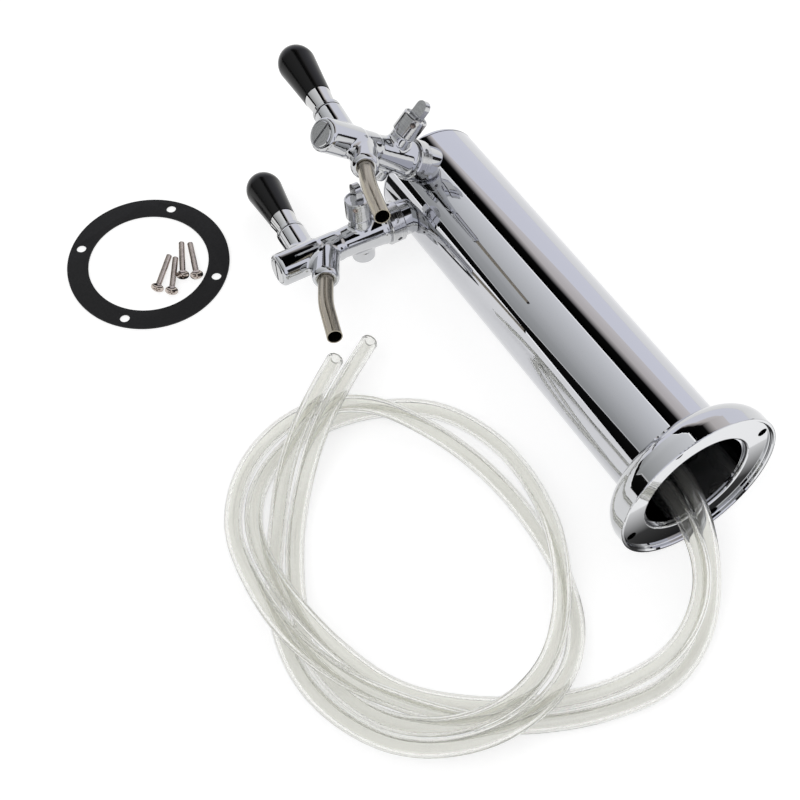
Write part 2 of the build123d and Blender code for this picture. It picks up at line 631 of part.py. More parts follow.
def make_spout():
    """Bent tube from its socket to the bare mouth."""
    s, c = math.sin(math.radians(SPOUT_LEAN)), math.cos(math.radians(SPOUT_LEAN))
    ss, sc = math.sin(math.radians(SOCKET_LEAN)), math.cos(math.radians(SOCKET_LEAN))
    start = (SOCKET_X + SPOUT_IN * ss, 0, -SPOUT_IN * sc)
    corner = (SPOUT_REACH - SPOUT_LEG * s, 0, SPOUT_LEG * c - SPOUT_DROP)
    path = FilletPolyline(start, corner, (SPOUT_REACH, 0, -SPOUT_DROP), radius=SPOUT_BEND)
    ring = Circle(SPOUT_OD / 2) - Circle(SPOUT_OD / 2 - SPOUT_WALL)
    return sweep(Plane(origin=path @ 0, z_dir=path % 0) * ring, path)


def make_spout_ring():
    start = SPOUT_RING_AT + 0.1
    outer = SPOUT_OD / 2 + RING_DEPTH + 0.13
    ring = rod(outer, start, start + RING_GROOVE - 0.2)
    return SOCKET * (ring - rod(SPOUT_OD / 2 + 0.02, start - 1, start + 3))


# ---------------------------------------------------------------- lever, in the branch's frame
def make_ball_washer():
    bore = BRANCH_BORE - FIT
    washer = rod(bore, -BRANCH_FLOOR, BONNET_BASE) - rod(BALL_R + 0.15, 0, BONNET_BASE + 1)
    washer -= Sphere(BALL_R + BALL_GAP)
    washer -= rod(BALL_R - 0.3, -BRANCH_FLOOR - 1, 0)
    cone = BRANCH_BORE - 1.1
    return BRANCH * (washer - turned((0, -BRANCH_FLOOR - 1), (cone, -BRANCH_FLOOR - 1),
                                     (BALL_R - 0.3, -3.6), (0, -3.6)))


def make_bonnet():
    bore = BRANCH_BORE - FIT
    bonnet = turned((0, BONNET_BASE), (bore, BONNET_BASE), (bore, BONNET_TOP - 0.7),
                    (bore - 0.75, BONNET_TOP), (0, BONNET_TOP))
    bonnet -= Sphere(BALL_R + BALL_GAP)
    bonnet -= turned((0, 0), (BALL_R + 0.1, 0), (BALL_R + 0.1, 1.6), (BALL_R - 1.3, 3.8), (0, 3.8))
    return BRANCH * (bonnet - stem_room(STEM_R + STEM_CLEAR))


def make_lever():
    lever = Sphere(BALL_R) + rod(STEM_R, 0, STEM_TOP) + rod(ARM_R, -ARM, 0)
    return BRANCH * (lever + Pos(0, 0, -ARM) * Sphere(TIP_BALL))


def make_lever_collar():
    low = BRANCH_TOP + 0.05
    r = LEVER_COLLAR_R
    collar = turned((0, low), (r, low), (r, CONE_TOP - 1.4), (r - 1.4, CONE_TOP), (0, CONE_TOP))
    hollow = math.hypot(r, low) + 0.4
    collar -= Sphere(hollow)
    return BRANCH * (collar - rod(STEM_R + GLUE, low - 1, CONE_TOP + 1))


def make_ferrule():
    hole = STEM_R + GLUE
    return BRANCH * turned((hole, CONE_TOP), (FERRULE_R0 - 0.5, CONE_TOP), (FERRULE_R0, CONE_TOP + 0.5),
                           (FERRULE_R1, FERRULE_TOP - 0.4), (FERRULE_R1 - 0.3, FERRULE_TOP),
                           (hole, FERRULE_TOP))


def make_grip():
    hole = STEM_R + GLUE
    middle = (FERRULE_TOP + GRIP_WIDE) / 2
    return BRANCH * turned((0, STEM_TOP + 0.3), (hole, STEM_TOP + 0.3), (hole, FERRULE_TOP),
                           (GRIP_R0 - 0.4, FERRULE_TOP),
                           (GRIP_R0, FERRULE_TOP + 0.5),
                           ("arc", ((GRIP_R0 + GRIP_R1) / 2 - 0.1, middle), (GRIP_R1, GRIP_WIDE)),
                           ("arc", (GRIP_R1 - 0.95, GRIP_TOP - 8.6), (GRIP_R1 / 2 + 0.2, GRIP_TOP - 1.6)),
                           dome(GRIP_R1 / 2 + 0.2, GRIP_TOP - 1.6, GRIP_TOP))


# ---------------------------------------------------------------- valve
def make_valve_shaft():
    rear = SEAT_X - 0.05
    land = SEAT_X + SEAT_T + LAND_BACK
    back = SEAT_X - SHAFT_BACK
    thin = SHAFT_R + 0.1
    neck = SEAT_HOLE - SEAT_CLEAR
    waist = LAND_R - SHAFT_WAIST_DEPTH
    waist_end = SHAFT_END - SHAFT_WAIST_AT
    waist_start = waist_end - SHAFT_WAIST
    shaft = ALONG_X * turned(
        (0, back), (SHAFT_R, back), (SHAFT_R, rear), (neck, rear), (neck, rear + SEAT_COLLAR),
        (thin, rear + SEAT_COLLAR + SEAT_COLLAR_SLOPE), (thin, land - 1.5), (SHAFT_R * 2, land),
        (LAND_R, land),
        (LAND_R, waist_start - SHAFT_WAIST_SLOPE), (waist, waist_start), (waist, waist_end),
        (LAND_R, waist_end + SHAFT_WAIST_SLOPE), (LAND_R, SHAFT_END - SHAFT_EDGE),
        (LAND_R - SHAFT_EDGE, SHAFT_END),
        (0, SHAFT_END))
    x = PIVOT_X + ARM * math.sin(math.radians(LEAN))
    z = PIVOT_H - ARM * math.cos(math.radians(LEAN))
    low = PIVOT_H - ARM - TIP_BALL - 0.4
    high = z + POCKET_UP
    wide = 2 * (TIP_BALL + POCKET_CLEAR)
    return shaft - Pos(x, 0, (low + high) / 2) * Box(wide - 0.1, wide, high - low)


def make_valve_seal():
    rear = SEAT_X - 0.1
    seal = rod(VALVE_SEAL_R, rear - VALVE_SEAL_T, rear)
    return ALONG_X * (seal - rod(SHAFT_R + 0.02, rear - 5, rear + 1))


def make_seal_nut():
    low = SEAT_X - 0.1 - VALVE_SEAL_T - SEAL_NUT_H
    nut = Pos(0, 0, low) * extrude(RegularPolygon(SEAL_NUT_AF / 2, 6, major_radius=False), SEAL_NUT_H)
    return ALONG_X * (nut - rod(SHAFT_R + 0.02, low - 1, low + 4))


# ---------------------------------------------------------------- flow control
def make_control_spindle():
    """Spindle with its eccentric pin."""
    x, y = on_circle(PIN_E, KNOB_MAX / 2)
    spindle = rod(SPINDLE_R, CHAMBER_R + 0.2, BOSS_OUT)
    spindle += rod(SPINDLE_STEM, BOSS_OUT, KNOB_FACE - KNOB_WALL - FIT)
    return CONTROL * (spindle + rod(PIN_R, PIN_END, CHAMBER_R + 0.8, x, y))


def make_control_knob():
    e = KNOB_EDGE
    face = KNOB_FACE
    hole = SPINDLE_STEM + FIT
    knob = turned((0, KNOB_IN), (KNOB_R - e, KNOB_IN), (KNOB_R, KNOB_IN + e), (KNOB_R, KNOB_OUT - e),
                  (KNOB_R - e, KNOB_OUT), (KNOB_R - 2 * e, KNOB_OUT), (KNOB_R - 2 * e - 0.3, face),
                  (0, face))
    knob -= rod(hole, KNOB_IN - 1, face - KNOB_WALL)
    tab = Pos(0, 0, (face + TAB_OUT - TAB_W / 2) / 2) * Box(TAB_T, TAB_W, TAB_OUT - TAB_W / 2 - face)
    tab += Pos(0, 0, TAB_OUT - TAB_W / 2) * Rot(0, 90, 0) * Cylinder(TAB_W / 2, TAB_T)
    foot = Pos(0, 0, face + TAB_FOOT / 2) * Box(TAB_T + 2.4, TAB_W - 2.5, TAB_FOOT)
    knob += tab + foot
    return CONTROL * (knob - grub_frame() * rod(GRUB_R + 0.03, hole - 1, KNOB_R + 1))


def grub_frame():
    """The grub screw's hole, its z out of the knob's side."""
    return Rot(0, 0, -GRUB_TURN) * Pos(0, 0, GRUB_AT) * Rot(0, 90, 0)


def make_knob_screw():
    """Grub screw through the knob's side onto the spindle."""
    top = KNOB_R - 0.35
    screw = rod(GRUB_R, SPINDLE_STEM + FIT, top)
    screw -= Pos(0, 0, top - 0.9) * extrude(RegularPolygon(GRUB_R * 0.5, 6, major_radius=False), 2)
    return CONTROL * grub_frame() * screw


def make_flow_piston():
    """Cone piston with three guide ribs and the slot for the pin."""
    nose = PISTON_X1 - 5
    piston = ALONG_X * turned((0, PISTON_X0), (PISTON_R - 0.8, PISTON_X0), (PISTON_R, PISTON_X0 + 1),
                              (PISTON_R - 0.8, nose),
                              (PISTON_NOSE, PISTON_X1), (0, PISTON_X1))
    for angle in (60, 180, 300):
        rib = Box(RIB_LEN, RIB_T, CHAMBER_R - PISTON_R + 1.9)
        spoke = Pos(PISTON_X0 + 1 + RIB_LEN / 2, 0, 0) * Rot(angle + 90, 0, 0)
        piston += spoke * Pos(0, 0, PISTON_R - 0.5) * rib
    piston = piston & ALONG_X * rod(CHAMBER_R - PISTON_GAP, PISTON_X0 - 1, PISTON_X1 + 1)
    x, h = on_circle(PIN_E, KNOB_MAX / 2)
    wide = 2 * (PIN_R + 0.18)
    slot = Box(wide, CHAMBER_R - PISTON_GAP, 2 * (PIN_R + 1.1))
    return piston - Pos(CONTROL_X + x, CHAMBER_R / 2 + 0.3, -(h + PIN_E) / 2) * slot


# ---------------------------------------------------------------- hoses
def hose_points(tap, route):
    """From the barb straight down the column, then along the chosen route."""
    leg = TOWER * seat_frame(tap) * Pos(-SHANK_TAIL - ELBOW_OUT, 0, -HOSE_START)
    first = leg * Pos(0, 0, -HOSE_FIRST)
    return [leg.position, first.position] + [Vector(*p) for p in route]


def bend_radii(points):
    radii = []
    for a, b, c in zip(points, points[1:], points[2:]):
        half = math.radians((b - a).get_angle(c - b)) / 2
        radii.append(ROUND_SHARE * min((b - a).length, (c - b).length) / math.tan(half))
    return radii


def make_hose(name, route):
    points = hose_points(TAPS[name], route)
    radii = bend_radii(points)
    path = FilletPolyline(*points, radius=radii)
    ring = Plane(origin=path @ 0, z_dir=path % 0) * (Circle(HOSE_OD / 2) - Circle(HOSE_ID / 2))
    hose = sweep(ring, path)
    section = math.pi * (HOSE_OD ** 2 - HOSE_ID ** 2) / 4
    print(name, "hose length", round(path.length, 1), "volume share",
          round(hose.volume / section / path.length, 5),
          "radii", [round(r) for r in radii])
    return hose


# ---------------------------------------------------------------- assembly
def add_tap(out, groups, name, tap):
    seat = TOWER * seat_frame(tap)
    faucet = seat * Rot(-tap["roll"], 0, 0) * Pos(BODY_BACK, 0, 0)
    fixed = {"collar": make_collar(tap), "shank": make_shank(), "wall_washer": make_wall_washer(tap),
             "tail_elbow": make_tail_elbow(), "coupling_nut": make_coupling_nut(tap)}
    rolled = {"body": make_body(), "front_plug": make_front_plug(), "plug_ring": make_plug_ring(),
              "spout": make_spout(), "spout_ring": make_spout_ring(), "ball_washer": make_ball_washer(),
              "bonnet": make_bonnet(), "valve_shaft": make_valve_shaft(), "valve_seal": make_valve_seal(),
              "seal_nut": make_seal_nut(), "lever": make_lever(), "lever_collar": make_lever_collar(),
              "ferrule": make_ferrule(), "grip": make_grip(), "control_spindle": make_control_spindle(),
              "control_knob": make_control_knob(), "knob_screw": make_knob_screw(),
              "flow_piston": make_flow_piston()}
    for piece, shape in fixed.items():
        out[name + "_" + piece] = seat * shape
    for piece, shape in rolled.items():
        out[name + "_" + piece] = faucet * shape
    groups["lock_nuts"].append(seat * make_lock_nut(tap))
    groups["hose_clamps"].append(seat * make_hose_clamp())
    groups["coupling_seals"].append(seat * make_coupling_seal())


def build():
    """Every node by name, placed about the foot of the flange."""
    out = {"column_tube": TOWER * make_column(), "column_cap": TOWER * make_cap(),
           "base_flange": TOWER * make_flange(),
           "base_gasket": make_gasket()}
    groups = {"lock_nuts": [], "hose_clamps": [], "coupling_seals": [], "mounting_screws": []}
    for name, tap in TAPS.items():
        add_tap(out, groups, name, tap)
    screw = make_screw()
    groups["mounting_screws"] = [lay_screw(screw, place) for place in SCREW_PLACES]
    for node, shapes in groups.items():
        out[node] = Compound(children=[s.solid() for s in shapes])
    return out


def origin_of(parts):
    """Bottom centre of the box of all pieces but the hoses."""
    boxes = [shape.bounding_box() for shape in parts.values()]
    low = [min(getattr(b.min, axis) for b in boxes) for axis in "XYZ"]
    high = [max(getattr(b.max, axis) for b in boxes) for axis in "XYZ"]
    return (low[0] + high[0]) / 2, (low[1] + high[1]) / 2, low[2]


if __name__ == "__main__":
    parts = build()
    origin = origin_of(parts)
    print("foot of the flange from the origin", [round(-v, 3) for v in origin])
    parts["tap1_hose"] = make_hose("tap1", TAP1_ROUTE)
    parts["tap2_hose"] = make_hose("tap2", TAP2_ROUTE)
    os.makedirs("parts", exist_ok=True)
    for node, shape in parts.items():
        export_step(Pos(-origin[0], -origin[1], -origin[2]) * shape, "parts/" + node + ".step")
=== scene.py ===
import json
import math

import bpy
from mathutils import Matrix, Vector

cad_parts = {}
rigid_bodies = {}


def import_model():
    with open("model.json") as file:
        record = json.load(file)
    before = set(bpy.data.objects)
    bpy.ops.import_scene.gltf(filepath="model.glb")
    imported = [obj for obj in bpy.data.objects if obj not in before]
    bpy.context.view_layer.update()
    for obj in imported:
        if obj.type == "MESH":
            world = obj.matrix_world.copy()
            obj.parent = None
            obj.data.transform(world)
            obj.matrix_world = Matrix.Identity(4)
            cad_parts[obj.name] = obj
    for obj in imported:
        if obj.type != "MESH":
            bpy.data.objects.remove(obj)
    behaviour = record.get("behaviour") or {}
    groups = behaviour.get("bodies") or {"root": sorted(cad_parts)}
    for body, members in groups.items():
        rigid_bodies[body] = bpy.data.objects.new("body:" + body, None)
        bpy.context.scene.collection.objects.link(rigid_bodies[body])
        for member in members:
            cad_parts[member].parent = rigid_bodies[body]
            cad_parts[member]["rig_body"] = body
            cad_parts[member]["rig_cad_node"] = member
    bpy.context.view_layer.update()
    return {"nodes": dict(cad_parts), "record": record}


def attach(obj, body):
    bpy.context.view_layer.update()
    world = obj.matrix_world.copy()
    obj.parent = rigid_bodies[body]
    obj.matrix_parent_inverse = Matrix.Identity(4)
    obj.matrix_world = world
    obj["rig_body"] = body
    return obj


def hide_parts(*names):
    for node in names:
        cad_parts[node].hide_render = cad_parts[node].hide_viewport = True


# Two-tap bar tower lying on its side, with its hoses, gasket and screws. Lengths are in metres.
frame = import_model()
nodes = frame["nodes"]
print("frame loaded:", len(nodes), "nodes")


# Small helpers

weldGap = 1e-6  # points closer than this become one


def hexColour(text, alpha=1.0):
    values = [int(text[i:i + 2], 16) / 255 for i in (1, 3, 5)]
    linear = [v / 12.92 if v <= 0.04045 else ((v + 0.055) / 1.055) ** 2.4 for v in values]
    return (*linear, alpha)


def addNode(tree, kind, settings=None, links=None):
    node = tree.nodes.new(kind)
    for key, value in (settings or {}).items():
        if isinstance(key, int) or key in node.inputs:
            node.inputs[key].default_value = value
        else:
            setattr(node, key, value)
    for key, source in (links or {}).items():
        tree.links.new(source, node.inputs[key])
    return node


def emptyTree(owner):
    owner.use_nodes = True
    owner.node_tree.nodes.clear()
    return owner.node_tree


def deselectAll():
    if bpy.context.mode != "OBJECT":
        bpy.ops.object.mode_set(mode="OBJECT")
    bpy.ops.object.select_all(action="DESELECT")


def makeActive(piece):
    deselectAll()
    piece.select_set(True)
    bpy.context.view_layer.objects.active = piece


def applyModifier(piece, kind, **settings):
    makeActive(piece)
    modifier = piece.modifiers.new(kind.title(), kind)
    for key, value in settings.items():
        setattr(modifier, key, value)
    bpy.ops.object.modifier_apply(modifier=modifier.name)


def applyPlace(piece):
    makeActive(piece)
    bpy.ops.object.transform_apply(location=True, rotation=True, scale=True)


def linkObject(name, data):
    piece = bpy.data.objects.new(name, data)
    bpy.context.scene.collection.objects.link(piece)
    return piece


def dress(piece, material):
    piece.data.materials.clear()
    piece.data.materials.append(material)


def finishPiece(piece, body, node, material):
    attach(piece, body)
    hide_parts(node)
    dress(piece, material)


# Camera: looks down 57 degrees, from beside the flange

cameraView = dict(place=(-0.30885, -0.539525, 0.90997), pitch=33.0, turn=-30.92, lens=72.0, sensor=36.0,
                  clipStart=0.05)


def addCamera(view):
    turn = (math.radians(view["pitch"]), 0.0, math.radians(view["turn"]))
    bpy.ops.object.camera_add(location=view["place"], rotation=turn)
    camera = bpy.context.active_object
    camera.name = "viewCamera"
    camera.data.lens = view["lens"]
    camera.data.sensor_width = view["sensor"]
    camera.data.clip_start = view["clipStart"]
    bpy.context.scene.camera = camera


addCamera(cameraView)


# How the tower lies, and where its taps sit: angles in degrees, heights along the column from its foot

tower = dict(tilt=3.7165, foot=(0.0999, -0.214595, 0.05843), radius=0.038)
taps = {
    "tap1": dict(seat=65.0, turn=-23.0, roll=2.3, height=0.299),
    "tap2": dict(seat=2.5, turn=0.0, roll=-9.6, height=0.289),
}
faucetBack = 0.011  # back face of a faucet, from the column's face


def frameMatrix(xAxis, zAxis, origin):
    xAxis, zAxis = Vector(xAxis), Vector(zAxis)
    yAxis = zAxis.cross(xAxis)
    matrix = Matrix((xAxis, yAxis, zAxis)).transposed().to_4x4()
    matrix.translation = Vector(origin)
    return matrix


def towerPlace():
    lean = math.radians(tower["tilt"])
    return frameMatrix((-1, 0, 0), (0, math.cos(lean), -math.sin(lean)), tower["foot"])


def seatPlace(tap):
    seat, out = math.radians(tap["seat"]), math.radians(tap["seat"] + tap["turn"])
    origin = (tower["radius"] * math.cos(seat), tower["radius"] * math.sin(seat), tap["height"])
    return towerPlace() @ frameMatrix((math.cos(out), math.sin(out), 0), (0, 0, 1), origin)


def faucetPlace(tap):
    roll = Matrix.Rotation(math.radians(-tap["roll"]), 4, "X")
    return seatPlace(tap) @ roll @ Matrix.Translation((faucetBack, 0, 0))


def onFloor(point):
    return Vector((tower["foot"][0], tower["foot"][1], 0)) + Vector(point)


# Finishes. Sizes of their patterns are in millimetres.

bumpDepth = 0.0001  # of fine surface relief, in metres
rippleDepth = 0.0002  # of the slow waves in a polished face
rippleRatio = 0.35  # how many waves there are to a patch of haze


def perMetre(size):
    return 1000 / size if size else 0.0


def startMaterial(name, **values):
    material = bpy.data.materials.new(name)
    tree = emptyTree(material)
    settings = {key.replace("_", " "): value for key, value in values.items()}
    shader = addNode(tree, "ShaderNodeBsdfPrincipled", settings)
    addNode(tree, "ShaderNodeOutputMaterial", links={"Surface": shader.outputs[0]})
    return material, tree, shader


def feedShader(tree, shader, **sources):
    for name, source in sources.items():
        tree.links.new(source, shader.inputs[name.replace("_", " ")])


def mirrorFinish(name, colour, rough, haze, bump):
    material, tree, shader = startMaterial(name, Base_Color=hexColour(colour), Metallic=1.0)
    place = addNode(tree, "ShaderNodeTexCoord").outputs["Object"]
    patches = addNode(tree, "ShaderNodeTexNoise", {"Scale": perMetre(haze), "Detail": 3.0},
                      {"Vector": place})
    dull = addNode(tree, "ShaderNodeMapRange", {"To Min": rough[0], "To Max": rough[1]},
                   {"Value": patches.outputs["Fac"]})
    waves = addNode(tree, "ShaderNodeTexNoise", {"Scale": perMetre(haze) * rippleRatio, "Detail": 1.0},
                    {"Vector": place})
    relief = addNode(tree, "ShaderNodeBump", {"Strength": bump, "Distance": rippleDepth},
                     {"Height": waves.outputs["Fac"]})
    feedShader(tree, shader, Roughness=dull.outputs["Result"], Normal=relief.outputs["Normal"])
    return material


# Machined lines follow the piece's own axis: their sizes round it, along it and out from it, or None
def machinedLines(tree, around, along, outward):
    lay = addNode(tree, "ShaderNodeAttribute", {"attribute_name": "lay"}).outputs["Vector"]
    flat = addNode(tree, "ShaderNodeMapping", {"Scale": (1.0, 1.0, 0.0)}, {"Vector": lay})
    radius = addNode(tree, "ShaderNodeVectorMath", {"operation": "LENGTH"}, {0: flat.outputs[0]})
    rings = addNode(tree, "ShaderNodeMath", {"operation": "MULTIPLY", 1: perMetre(outward)},
                    {0: radius.outputs["Value"]})
    scale = (perMetre(around), perMetre(around), perMetre(along))
    place = addNode(tree, "ShaderNodeMapping", {"Scale": scale}, {"Vector": lay})
    lines = addNode(tree, "ShaderNodeTexNoise", {"noise_dimensions": "4D", "Scale": 1.0, "Detail": 3.0},
                    {"Vector": place.outputs[0], "W": rings.outputs[0]})
    return lines.outputs["Fac"]


def brushedFinish(name, colour, darker, rough, lines, bump):
    material, tree, shader = startMaterial(name, Metallic=1.0)
    grooves = machinedLines(tree, *lines)
    clear = addNode(tree, "ShaderNodeMapRange", {"From Min": 0.35, "From Max": 0.65}, {"Value": grooves})
    tint = addNode(tree, "ShaderNodeMix", {"data_type": "RGBA", 6: hexColour(darker), 7: hexColour(colour)},
                   {0: clear.outputs["Result"]})
    dull = addNode(tree, "ShaderNodeMapRange", {"To Min": rough[0], "To Max": rough[1]},
                   {"Value": clear.outputs["Result"]})
    relief = addNode(tree, "ShaderNodeBump", {"Strength": bump, "Distance": bumpDepth}, {"Height": grooves})
    feedShader(tree, shader, Base_Color=tint.outputs[2], Roughness=dull.outputs["Result"],
               Normal=relief.outputs["Normal"])
    return material


def mouldedFinish(name, colour, rough, grain, bump, gloss=0.5):
    material, tree, shader = startMaterial(name, Base_Color=hexColour(colour), IOR=1.5,
                                           Specular_IOR_Level=gloss)
    place = addNode(tree, "ShaderNodeTexCoord").outputs["Object"]
    skin = addNode(tree, "ShaderNodeTexNoise", {"Scale": perMetre(grain), "Detail": 2.0}, {"Vector": place})
    dull = addNode(tree, "ShaderNodeMapRange", {"To Min": rough[0], "To Max": rough[1]},
                   {"Value": skin.outputs["Fac"]})
    relief = addNode(tree, "ShaderNodeBump", {"Strength": bump, "Distance": bumpDepth},
                     {"Height": skin.outputs["Fac"]})
    feedShader(tree, shader, Roughness=dull.outputs["Result"], Normal=relief.outputs["Normal"])
    return material


def clearFinish(name, colour, rough, grain):
    material, tree, shader = startMaterial(name, Base_Color=hexColour(colour), IOR=1.5,
                                           Transmission_Weight=0.95)
    place = addNode(tree, "ShaderNodeTexCoord").outputs["Object"]
    skin = addNode(tree, "ShaderNodeTexNoise", {"Scale": perMetre(grain), "Detail": 1.0}, {"Vector": place})
    dull = addNode(tree, "ShaderNodeMapRange", {"To Min": rough[0], "To Max": rough[1]},
                   {"Value": skin.outputs["Fac"]})
    feedShader(tree, shader, Roughness=dull.outputs["Result"])
    return material


# Bright chrome on cast brass, buffed by hand: a hard mirror that waves slightly, hazy in 11 mm patches.
polishedChrome = mirrorFinish("polishedChrome", "#c5c6c8", rough=(0.02, 0.05), haze=11.1, bump=0.05)

# Stainless tube, mirror polished on a lathe: the cleanest mirror here, with longer waves and a cold tint.
columnSteel = mirrorFinish("columnSteel", "#c5c6ca", rough=(0.015, 0.04), haze=16.7, bump=0.03)

# Bright chrome on a pressed sleeve: a neutral mirror with tighter waves.
ferruleChrome = mirrorFinish("ferruleChrome", "#c9c9c9", rough=(0.02, 0.06), haze=8.33, bump=0.05)

# Satin chrome on turned brass: fine rings that break up the mirror. Real rings are 0.1 mm apart, and
# too fine to show, so they are drawn about seven times as coarse.
satinChrome = brushedFinish("satinChrome", "#cbcccd", "#b9b9ba", rough=(0.07, 0.2),
                            lines=(11.1, 0.77, 0.667), bump=0.03)

# Stainless tube, brushed lengthwise: brownish grey, with long streaks along the spout. Real streaks are
# 0.1 mm wide, too fine to show, and drawn at 0.9 mm.
brushedSteel = brushedFinish("brushedSteel", "#afa898", "#9a9385", rough=(0.16, 0.26),
                             lines=(0.909, 83.3, None), bump=0.04)

# Stainless bar, turned and left so: plain rings from the lathe. Real feed marks are 0.15 mm, drawn at
# 1 mm so that they show.
turnedSteel = brushedFinish("turnedSteel", "#c4c3c2", "#a8a6a4", rough=(0.12, 0.25),
                            lines=(25.0, 1.11, 0.77), bump=0.06)

# Stainless wire, rolled and tumbled: warm grey and softly mottled, in patches of 2 to 5 mm.
screwSteel = brushedFinish("screwSteel", "#c9beb6", "#aba19b", rough=(0.1, 0.2),
                           lines=(5.0, 2.0, 2.0), bump=0.03)

# Nickel plate on machined brass: a yellowish, duller mirror.
platedBrass = mirrorFinish("platedBrass", "#bcbab2", rough=(0.08, 0.2), haze=5.0, bump=0.1)

# Phenolic, moulded and buffed: black, with soft and narrow highlights.
gripPlastic = mouldedFinish("gripPlastic", "#070707", rough=(0.16, 0.24), grain=16.7, bump=0.02, gloss=0.16)

# Acetal, machined: white and slightly waxy.
pistonPlastic = mouldedFinish("pistonPlastic", "#e4e2da", rough=(0.3, 0.45), grain=3.33, bump=0.05)

# Neoprene sheet, die cut: flat black with a fine grain. Real grain is 0.2 mm, drawn at 1.4 mm to show.
gasketRubber = mouldedFinish("gasketRubber", "#19191a", rough=(0.55, 0.85), grain=1.43, bump=0.4, gloss=0.3)

# Nitrile, moulded: black and matt, with the same grain as the sheet.
sealRubber = mouldedFinish("sealRubber", "#161616", rough=(0.5, 0.7), grain=1.43, bump=0.2)

# Soft PVC, extruded: water clear with a faint cream tint, and a smooth skin that hazes over long stretches.
clearPvc = clearFinish("clearPvc", "#f9f9f5", rough=(0.0, 0.05), grain=111.0)

finishOfSlot = {
    "column_steel": columnSteel, "polished_chrome": polishedChrome, "satin_chrome": satinChrome,
    "ferrule_chrome": ferruleChrome, "brushed_steel": brushedSteel, "turned_steel": turnedSteel,
    "screw_steel": screwSteel, "plated_brass": platedBrass, "grip_plastic": gripPlastic,
    "piston_plastic": pistonPlastic, "gasket_rubber": gasketRubber, "seal_rubber": sealRubber,
    "clear_hose": clearPvc,
}
for row in frame["record"]["subparts"]:
    dress(nodes[row["node"]], finishOfSlot[row["material_slot"]])


# Each turned piece carries its place on its own axis, which its machined lines follow

def leaning(angle, sign):
    return (-sign * math.sin(math.radians(angle)), 0.0, sign * math.cos(math.radians(angle)))


# a point of each axis in its faucet, and its direction
pieceAxis = {
    "barrel": ((0.0, 0.0, 0.0), (1.0, 0.0, 0.0)),
    "branch": ((0.06423, 0.0, 0.017), leaning(7.6, 1)),
    "socket": ((0.0515, 0.0, 0.0), leaning(28.97, -1)),
    "control": ((0.0235, 0.0, 0.0), (0.0, 1.0, 0.0)),
}
piecesOnAxis = {
    "barrel": ("collar", "shank", "wall_washer", "tail_elbow", "coupling_nut", "front_plug", "plug_ring",
               "valve_shaft", "valve_seal", "seal_nut", "flow_piston"),
    "branch": ("ball_washer", "bonnet", "lever", "lever_collar", "ferrule", "grip"),
    "socket": ("spout", "spout_ring"),
    "control": ("control_spindle", "control_knob", "knob_screw"),
}


def addLay(piece, place):
    back = place.inverted()
    layer = piece.data.attributes.new("lay", "FLOAT_VECTOR", "POINT")
    for spot, vertex in zip(layer.data, piece.data.vertices):
        spot.vector = back @ vertex.co


def axisPlace(tapName, axisName):
    origin, direction = pieceAxis[axisName]
    turn = Vector(direction).to_track_quat("Z", "X").to_matrix().to_4x4()
    return faucetPlace(taps[tapName]) @ Matrix.Translation(origin) @ turn


for tapName in taps:
    for axisName, names in piecesOnAxis.items():
        for name in names:
            addLay(nodes[tapName + "_" + name], axisPlace(tapName, axisName))
    for name in ("lever_collar", "bonnet"):  # turned rings, left satin
        dress(nodes[tapName + "_" + name], satinChrome)
for name in ("lock_nuts", "hose_clamps", "coupling_seals"):
    addLay(nodes[name], towerPlace())
print("finishes done:", len(bpy.data.materials))


# Hoses: clear tube, out of the bore and twice round, with bare cut ends

hose = dict(outer=0.006, wall=0.0026, barb=(-0.032, 0.0, -0.009), firstRun=0.045, resolution=90, sides=4,
            endEdge=0.0003)
